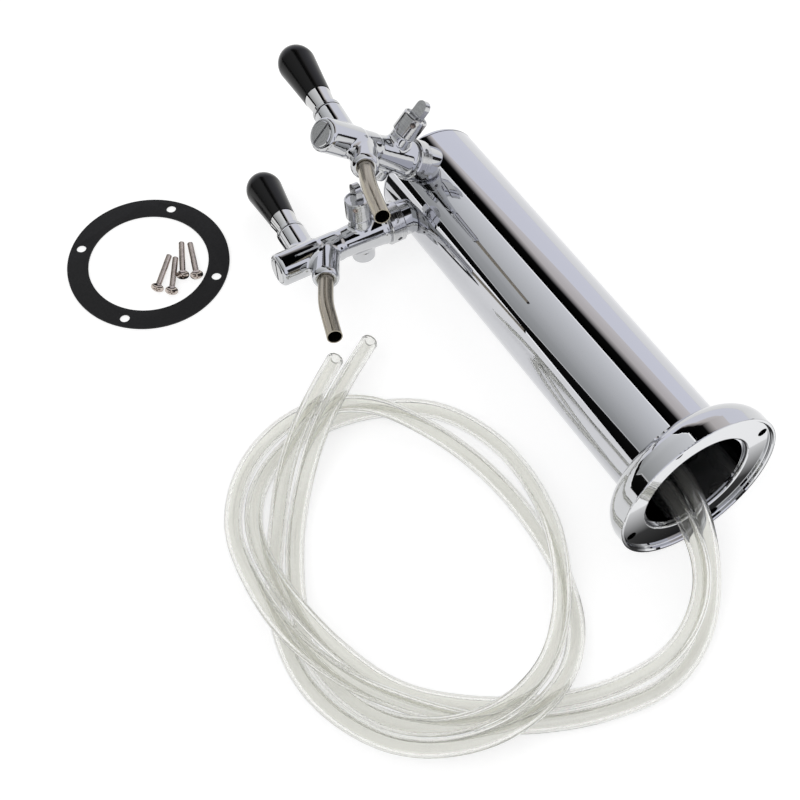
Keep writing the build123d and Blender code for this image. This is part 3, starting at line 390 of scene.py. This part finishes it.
# after the first run: across and along from the foot of the flange, and up from the floor
hoseRoute = {
    "tap1": [
        (0.0065, 0.1985, 0.044), (0.005, 0.1535, 0.031), (0.0035, 0.1075, 0.023), (0.0055, 0.0615, 0.0295),
        (0.0075, 0.015, 0.04), (-0.002, -0.026, 0.0205), (-0.0295, -0.0635, 0.006),
        (-0.0705, -0.083, 0.006), (-0.118, -0.076, 0.0065), (-0.159, -0.06, 0.007),
        (-0.189, -0.041, 0.0105), (-0.2155, -0.016, 0.0155), (-0.2425, 0.0175, 0.0205),
        (-0.2585, 0.0615, 0.021), (-0.259, 0.1085, 0.0165), (-0.25, 0.1535, 0.006),
        (-0.2195, 0.1895, 0.006), (-0.175, 0.2015, 0.014), (-0.1315, 0.184, 0.02), (-0.104, 0.147, 0.013),
        (-0.0865, 0.1055, 0.006), (-0.0815, 0.059, 0.006), (-0.0855, 0.012, 0.006),
        (-0.104, -0.0315, 0.0075), (-0.142, -0.0575, 0.0215), (-0.1885, -0.0605, 0.021),
        (-0.232, -0.0385, 0.0135), (-0.2565, 0.0005, 0.011), (-0.2635, 0.0445, 0.0065),
        (-0.2515, 0.093, 0.006), (-0.227, 0.1325, 0.006), (-0.201, 0.1675, 0.017), (-0.166, 0.1945, 0.031),
        (-0.132, 0.2225, 0.018)
    ],
    "tap2": [
        (-0.0075, 0.1875, 0.032), (-0.0085, 0.1415, 0.0245), (-0.009, 0.095, 0.0235),
        (-0.0065, 0.049, 0.0305), (-0.007, 0.0025, 0.036), (-0.0185, -0.0425, 0.0255),
        (-0.0565, -0.069, 0.013), (-0.104, -0.0665, 0.006), (-0.1475, -0.052, 0.006),
        (-0.184, -0.031, 0.006), (-0.2175, -0.0005, 0.006), (-0.2375, 0.0395, 0.019),
        (-0.2465, 0.0855, 0.023), (-0.244, 0.1325, 0.0155), (-0.22, 0.1715, 0.008), (-0.1775, 0.19, 0.006),
        (-0.1295, 0.1845, 0.006), (-0.089, 0.1615, 0.0065), (-0.0685, 0.119, 0.0065),
        (-0.069, 0.0725, 0.015), (-0.081, 0.028, 0.022), (-0.105, -0.0135, 0.0175),
        (-0.1405, -0.0435, 0.024), (-0.1855, -0.049, 0.0245), (-0.2255, -0.0285, 0.0175),
        (-0.246, 0.0105, 0.006), (-0.25, 0.056, 0.006), (-0.232, 0.1, 0.0115), (-0.208, 0.1395, 0.006),
        (-0.1775, 0.17, 0.025), (-0.14, 0.1955, 0.034), (-0.1055, 0.222, 0.02)
    ],
}


def hosePoints(tapName):
    leg = seatPlace(taps[tapName]) @ Matrix.Translation(hose["barb"])
    first = leg @ Vector((0, 0, -hose["firstRun"]))
    return [leg.translation, first] + [onFloor(point) for point in hoseRoute[tapName]]


def routeCurve(name, points, thickness):
    data = bpy.data.curves.new(name, "CURVE")
    data.dimensions = "3D"
    data.resolution_u = hose["resolution"]
    spline = data.splines.new("NURBS")
    spline.points.add(len(points) - 1)
    for point, place in zip(spline.points, points):
        point.co = (*place, 1.0)
    spline.order_u = 3
    spline.use_endpoint_u = True
    data.bevel_depth = thickness
    data.bevel_resolution = hose["sides"]
    curve = linkObject(name, data)
    bpy.context.view_layer.update()
    return curve


def readPath(curve):
    ready = curve.evaluated_get(bpy.context.evaluated_depsgraph_get())
    mesh = bpy.data.meshes.new_from_object(ready)
    return [tuple(v.co) for v in mesh.vertices]


def makeHose(tapName):
    points = hosePoints(tapName)
    line = routeCurve(tapName + "Line", points, 0.0)
    path = readPath(line)
    bpy.data.objects.remove(line)
    tube = routeCurve(tapName + "_clear_hose", points, hose["outer"])
    makeActive(tube)
    bpy.ops.object.convert(target="MESH")
    tube = bpy.context.active_object
    applyModifier(tube, "SOLIDIFY", thickness=hose["wall"], offset=-1.0, use_even_offset=True)
    applyModifier(tube, "BEVEL", width=hose["endEdge"], segments=2, limit_method="ANGLE",
                  angle_limit=math.radians(60))
    bpy.ops.object.shade_smooth_by_angle(angle=math.radians(40))
    finishPiece(tube, "tower", tapName + "_hose", clearPvc)


for tapName in taps:
    makeHose(tapName)
print("hoses done")


# Faucet bodies: one casting each, buffed, so its inner corners are round

casting = dict(voxel=0.0005, fillet=0.0022, smoothing=0.5, passes=3, chamber=0.00878,
               chamberEnds=(0.0056, 0.0409))


def copyNode(nodeName, pieceName):
    piece = nodes[nodeName].copy()
    piece.data = nodes[nodeName].data.copy()
    bpy.context.scene.collection.objects.link(piece)
    for key in ("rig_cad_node", "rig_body"):  # marks of a frame's node, which a new piece must not have
        if key in piece:
            del piece[key]
    piece.parent = None
    piece.name = pieceName
    piece.data.name = pieceName
    makeActive(piece)
    bpy.ops.object.mode_set(mode="EDIT")
    bpy.ops.mesh.customdata_custom_splitnormals_clear()
    bpy.ops.mesh.select_all(action="SELECT")
    bpy.ops.mesh.remove_doubles(threshold=weldGap)
    bpy.ops.object.mode_set(mode="OBJECT")
    return piece


def addRod(radius, low, high, place=(0.0, 0.0), sides=64):
    bpy.ops.mesh.primitive_cylinder_add(vertices=sides, radius=radius, depth=high - low,
                                        location=(place[0], place[1], (low + high) / 2))
    return bpy.context.active_object


def cutAway(piece, cutter):
    applyModifier(piece, "BOOLEAN", operation="DIFFERENCE", object=cutter, solver="EXACT")
    bpy.data.objects.remove(cutter)


def cutChamber(piece, tapName):  # the fillets also narrowed the bore that the piston slides in
    low, high = casting["chamberEnds"]
    cutter = addRod(casting["chamber"], low, high)
    turn = Matrix.Rotation(math.pi / 2, 4, "Y")
    cutter.matrix_world = faucetPlace(taps[tapName]) @ turn @ cutter.matrix_world
    applyPlace(cutter)
    cutAway(piece, cutter)


def makeCasting(tapName):
    piece = copyNode(tapName + "_body", tapName + "_faucet_casting")
    remesh = dict(mode="VOXEL", voxel_size=casting["voxel"])
    applyModifier(piece, "REMESH", **remesh)
    for way in (1, -1):  # swelled and drawn back, which fills its inner corners
        applyModifier(piece, "DISPLACE", strength=way * casting["fillet"], mid_level=0.0)
        applyModifier(piece, "REMESH", **remesh)
        applyModifier(piece, "SMOOTH", factor=casting["smoothing"], iterations=casting["passes"])
    cutChamber(piece, tapName)
    makeActive(piece)
    bpy.ops.object.shade_smooth()
    finishPiece(piece, "tower", tapName + "_body", polishedChrome)
    print(piece.name, len(piece.data.polygons), "faces")


for tapName in taps:
    makeCasting(tapName)
print("castings done")


# Base gasket: rubber ring with four bolt holes, lying flat

gasket = dict(radius=0.058, hole=0.043, thick=0.002, boltHole=0.0035, boltCircle=0.051, bolts=4, turn=45.0,
              place=(-0.0999, 0.160305), edge=0.00035, sides=160, boltSides=40, overcut=0.001)


def makeGasket():
    g = gasket
    x, y = g["place"]
    through = (-g["overcut"], g["thick"] + g["overcut"])
    deselectAll()
    ring = addRod(g["radius"], 0.0, g["thick"], g["place"], g["sides"])
    ring.name = "flange_gasket"
    cutAway(ring, addRod(g["hole"], *through, g["place"], g["sides"]))
    for i in range(g["bolts"]):
        turn = math.radians(g["turn"] + 360 / g["bolts"] * i)
        place = (x + g["boltCircle"] * math.cos(turn), y + g["boltCircle"] * math.sin(turn))
        cutAway(ring, addRod(g["boltHole"], *through, place, g["boltSides"]))
    applyPlace(ring)
    applyModifier(ring, "BEVEL", width=g["edge"], segments=2, limit_method="ANGLE",
                  angle_limit=math.radians(50))
    bpy.ops.object.shade_smooth_by_angle(angle=math.radians(50))
    finishPiece(ring, "tower", "base_gasket", gasketRubber)


makeGasket()
print("gasket done")


# Mounting screws: threaded, with raised heads and a cross recess, as they lie

screw = dict(length=0.033, radius=0.0021, root=0.00172, pitch=0.0009, tip=0.0005, headRadius=0.00465,
             cone=0.0024, rim=0.0004, dome=0.0015, domeSteps=8, slot=0.001, slotDepth=0.0011, slotReach=1.1,
             sides=32)
# edge of each head across and along from the foot of the flange, and the way that the head points
screwHeads = [(-0.205, 0.349, -131.4), (-0.1975, 0.3415, -121.0), (-0.1845, 0.35, -114.4),
              (-0.176, 0.345, -107.6)]


def screwProfile():
    s = screw
    top = s["length"] - s["dome"]
    under = top - s["rim"] - s["cone"]
    points = [(0.0, 0.0), (s["root"], 0.0), (s["radius"], s["tip"])]
    for i in range(int((under - s["tip"]) / s["pitch"])):
        low = s["tip"] + i * s["pitch"]
        points += [(s["root"], low + s["pitch"] / 2), (s["radius"], low + s["pitch"])]
    points += [(s["radius"], under), (s["headRadius"], top - s["rim"]), (s["headRadius"], top)]
    bow = (s["headRadius"] ** 2 + s["dome"] ** 2) / (2 * s["dome"])
    wide = math.asin(s["headRadius"] / bow)
    for i in range(1, s["domeSteps"]):
        turn = wide * (1 - i / s["domeSteps"])
        points.append((bow * math.sin(turn), s["length"] - bow + bow * math.cos(turn)))
    return points + [(0.0, s["length"])]


def spinProfile(name, points, sides):
    mesh = bpy.data.meshes.new(name)
    mesh.from_pydata([(r, 0.0, z) for r, z in points], [(i, i + 1) for i in range(len(points) - 1)], [])
    piece = linkObject(name, mesh)
    makeActive(piece)
    bpy.ops.object.mode_set(mode="EDIT")
    bpy.ops.mesh.select_all(action="SELECT")
    bpy.ops.mesh.spin(steps=sides, angle=math.tau, center=(0, 0, 0), axis=(0, 0, 1))
    bpy.ops.mesh.select_all(action="SELECT")
    bpy.ops.mesh.remove_doubles(threshold=weldGap)
    bpy.ops.mesh.normals_make_consistent(inside=False)
    bpy.ops.object.mode_set(mode="OBJECT")
    return piece


def makeScrew():
    master = spinProfile("screwMaster", screwProfile(), screw["sides"])
    arm = screw["headRadius"] * screw["slotReach"]
    for size in ((arm, screw["slot"]), (screw["slot"], arm)):
        deselectAll()
        bpy.ops.mesh.primitive_cube_add(size=1.0, location=(0, 0, screw["length"]))
        slot = bpy.context.active_object
        slot.scale = (*size, 2 * screw["slotDepth"])
        applyPlace(slot)
        cutAway(master, slot)
    bpy.ops.object.shade_smooth_by_angle(angle=math.radians(35))
    return master


def screwPlace(head):  # it lies on the edge of its head and on its tip
    x, y, heading = head
    top = screw["length"] - screw["dome"] - screw["rim"]
    rise = math.atan2(screw["headRadius"] - screw["radius"], top - screw["tip"])
    c, s = math.cos(rise), math.sin(rise)
    hx, hy = math.cos(math.radians(heading)), math.sin(math.radians(heading))
    tip = onFloor((x - hx * top * c, y - hy * top * c, screw["radius"] * c - screw["tip"] * s))
    return frameMatrix((-hx * s, -hy * s, c), (hx * c, hy * c, s), tip)


def makeScrews():
    master = makeScrew()
    for i, head in enumerate(screwHeads):
        piece = linkObject("mounting_screw_%d" % (i + 1), master.data.copy())
        place = screwPlace(head)
        piece.data.transform(place)
        addLay(piece, place)
        finishPiece(piece, "tower", "mounting_screws", screwSteel)
    bpy.data.objects.remove(master)


makeScrews()
print("screws done")


# Floor, light, and what the metal mirrors

white = "#ffffff"
studio = dict(floorSize=8.0, floorDrop=0.0003, floorColour="#b0b0b0", floorGlow=0.72, fill=0.55, seen=1.0,
              sheenColour="#f3f4ff", sheen=1.06)
lamps = {
    "keyLamp": dict(place=(-0.9, -0.3, 1.6), size=1.2, power=9.0),
    "fillLamp": dict(place=(1.0, 0.6, 1.5), size=1.2, power=4.5),
}


def addFloor():
    bpy.ops.mesh.primitive_plane_add(size=studio["floorSize"], location=(0, 0, -studio["floorDrop"]))
    floor = bpy.context.active_object
    floor.name = "studioFloor"
    material = bpy.data.materials.new("paleFloor")  # white to the eye and in the metal, grey to the light
    tree = emptyTree(material)
    paper = addNode(tree, "ShaderNodeBsdfDiffuse", {"Color": hexColour(studio["floorColour"])})
    glow = addNode(tree, "ShaderNodeEmission", {"Color": hexColour(white), "Strength": studio["floorGlow"]})
    light = addNode(tree, "ShaderNodeAddShader", links={0: paper.outputs[0], 1: glow.outputs[0]})
    rays = addNode(tree, "ShaderNodeLightPath")
    seen = addNode(tree, "ShaderNodeMath", {"operation": "MAXIMUM"},
                   {0: rays.outputs["Is Camera Ray"], 1: rays.outputs["Is Glossy Ray"]})
    either = addNode(tree, "ShaderNodeMath", {"operation": "MAXIMUM"},
                     {0: seen.outputs[0], 1: rays.outputs["Is Transmission Ray"]})
    mix = addNode(tree, "ShaderNodeMixShader",
                  links={0: either.outputs[0], 1: paper.outputs[0], 2: light.outputs[0]})
    addNode(tree, "ShaderNodeOutputMaterial", links={"Surface": mix.outputs[0]})
    dress(floor, material)


def addWorld():
    world = bpy.data.worlds.new("studioWorld")
    bpy.context.scene.world = world
    tree = emptyTree(world)
    rays = addNode(tree, "ShaderNodeLightPath")
    fill = addNode(tree, "ShaderNodeBackground", {"Color": hexColour(white), "Strength": studio["fill"]})
    back = addNode(tree, "ShaderNodeBackground", {"Color": hexColour(white), "Strength": studio["seen"]})
    sheen = addNode(tree, "ShaderNodeBackground",
                    {"Color": hexColour(studio["sheenColour"]), "Strength": studio["sheen"]})
    seen = addNode(tree, "ShaderNodeMath", {"operation": "MAXIMUM"},
                   {0: rays.outputs["Is Camera Ray"], 1: rays.outputs["Is Transmission Ray"]})
    mix = addNode(tree, "ShaderNodeMixShader",
                  links={0: seen.outputs[0], 1: fill.outputs[0], 2: back.outputs[0]})
    mirrored = addNode(tree, "ShaderNodeMixShader",
                       links={0: rays.outputs["Is Glossy Ray"], 1: mix.outputs[0], 2: sheen.outputs[0]})
    addNode(tree, "ShaderNodeOutputWorld", links={"Surface": mirrored.outputs[0]})


def addLamp(name, place, size, power):
    bpy.ops.object.light_add(type="AREA", location=place)
    lamp = bpy.context.active_object
    lamp.name = name
    lamp.data.size = size
    lamp.data.energy = power
    lamp.rotation_euler = (-Vector(place)).to_track_quat("-Z", "Y").to_euler()  # towards the middle
    lamp.visible_glossy = False
    lamp.visible_camera = False


# Cards are panels that the metal shows and the eye doesn't. Each has rows of two corners, and a tone at
# its near and at its far edge, as plain light: one number for a grey, three for a tint.
def cardMaterial(name, near, far):
    material = bpy.data.materials.new(name + "Light")
    tree = emptyTree(material)
    uv = addNode(tree, "ShaderNodeTexCoord").outputs["UV"]
    split = addNode(tree, "ShaderNodeSeparateXYZ", links={0: uv})
    tint = addNode(tree, "ShaderNodeMix", {"data_type": "RGBA", 6: (*near, 1.0), 7: (*far, 1.0)},
                   {0: split.outputs[0]})
    glow = addNode(tree, "ShaderNodeEmission", {"Strength": 1.0}, {"Color": tint.outputs[2]})
    addNode(tree, "ShaderNodeOutputMaterial", links={"Surface": glow.outputs[0]})
    return material


def addCard(name, rows, near, far):
    corners = [corner for row in rows for corner in row]
    faces = [(2 * i, 2 * i + 1, 2 * i + 3, 2 * i + 2) for i in range(len(rows) - 1)]
    mesh = bpy.data.meshes.new(name)
    mesh.from_pydata(corners, [], faces)
    layer = mesh.uv_layers.new(name="UVMap")
    for loop in mesh.loops:
        layer.data[loop.index].uv = (loop.vertex_index % 2, 0.5)
    card = linkObject(name, mesh)
    tones = [tone if isinstance(tone, tuple) else (tone,) * 3 for tone in (near, far)]
    dress(card, cardMaterial(name, *tones))
    card.visible_camera = False
    card.visible_diffuse = False
    card.visible_shadow = False
    return card


# Bands that the column mirrors lengthwise. Each starts where the one before it ends, at angles round the
# column in degrees, at three heights on it. Its card stands out at a reach, at twice those angles less the
# bearing that the column is seen from, and further along the column by a rise and a shift.
columnMirror = dict(reach=1.2, bearing=64.0, heights=(0.03, 0.158, 0.3), rise=2.31, shift=0.497,
                    ends=(-0.6, 2.6))
firstEdge = (30.4, 32.5, 33.25)
bands = {
    "lowTrim": dict(to=(31.4, 33.5, 34.25), near=1.5, far=1.7),
    "lowGap": dict(to=(42.65, 37.95, 40.95), near=0.003, far=0.006),
    "sideTrim": dict(to=(43.35, 38.65, 41.65), near=0.9, far=0.7),
    "sideStart": dict(to=(60.0, 57.0, 55.0), near=(0.4, 0.41, 0.41), far=(0.68, 0.69, 0.7)),
    "sidePanel": dict(to=(79.3, 77.9, 76.15), near=(0.68, 0.69, 0.7), far=(0.96, 0.97, 1.0)),
    "topTrim": dict(to=(80.1, 78.7, 76.95), near=1.4, far=1.5),
    "topGap": dict(to=(89.35, 86.25, 86.0), near=0.0, far=0.004),
    "topShade": dict(to=(95.0, 91.0, 90.5), near=0.01, far=(0.68, 0.64, 0.63)),
    "warmPanel": dict(to=(104.8, 100.7, 91.8), near=(0.7, 0.66, 0.65), far=(0.86, 0.82, 0.82)),
}


def mirroredPoint(angle, along):
    turn = math.radians(2 * angle - columnMirror["bearing"])
    reach = columnMirror["reach"]
    return towerPlace() @ Vector((reach * math.cos(turn), reach * math.sin(turn), along))


def addBands():
    m = columnMirror
    middle = [m["shift"] + m["rise"] * height for height in m["heights"]]
    stations = [m["ends"][0], *middle, m["ends"][1]]
    start = firstEdge
    for name, band in bands.items():
        edges = [(edge[0], *edge, edge[2]) for edge in (start, band["to"])]
        rows = [(mirroredPoint(a, at), mirroredPoint(b, at)) for a, b, at in zip(*edges, stations)]
        addCard(name, rows, band["near"], band["far"])
        start = band["to"]


# Cards that lie on the floor: their ends across, their near and far edge along
cardLift = 0.0001
floorCards = {
    # flangeShade and flangeFade are painted shade: the floor next to the flange, dark as if in its shadow,
    # where the flange mirrors it. flangeGlow is a painted bright strip of floor beyond them, and
    # tapShadeBack is a painted shade strip behind the taps, which the column mirrors.
    "flangeShade": dict(across=(-0.05, 0.30), along=(-0.2165, -0.232), near=0.01, far=0.06),
    "flangeFade": dict(across=(-0.05, 0.30), along=(-0.232, -0.248), near=0.06, far=0.95),
    "flangeGlow": dict(across=(-0.02, 0.30), along=(-0.248, -0.36), near=1.3, far=1.5),
    "tapShadeBack": dict(across=(-0.09, 0.02), along=(0.13, 0.145), near=0.01, far=0.03),
}


def addFloorCards():
    for name, card in floorCards.items():
        rows = [[(x, y, cardLift) for y in card["along"]] for x in card["across"]]
        addCard(name, rows, card["near"], card["far"]).visible_transmission = False


# Cards that stand round the set: bearings and heights in degrees, seen from its middle
setReach = 2.2
setSteps = 36
farCards = {
    "frontLow": dict(bearing=(-150.0, -95.0), height=(3.0, 12.0), tone=0.02),
    "frontTall": dict(bearing=(-76.0, -66.0), height=(6.0, 34.0), tone=0.02),
    "rightLine": dict(bearing=(-50.0, 0.0), height=(0.5, 4.5), tone=0.02),
    "leftTall": dict(bearing=(-178.0, -166.0), height=(8.0, 40.0), tone=0.03),
    "hoseBand": dict(bearing=(-180.0, 180.0), height=(4.0, 38.0), tone=0.25),
}


def addFarCards():
    for name, card in farCards.items():
        start, end = card["bearing"]
        rows = []
        for i in range(setSteps + 1):
            turn = math.radians(start + (end - start) * i / setSteps)
            rows.append([(setReach * math.cos(turn), setReach * math.sin(turn),
                          setReach * math.tan(math.radians(height))) for height in card["height"]])
        addCard(name, rows, card["tone"], card["tone"])
    bpy.data.objects["hoseBand"].visible_glossy = False  # only the clear hoses show this one


addBands()
addFloorCards()
addFarCards()
addFloor()
addWorld()
for name, values in lamps.items():
    addLamp(name, **values)
bpy.context.scene.view_settings.view_transform = "Standard"
print("studio done")
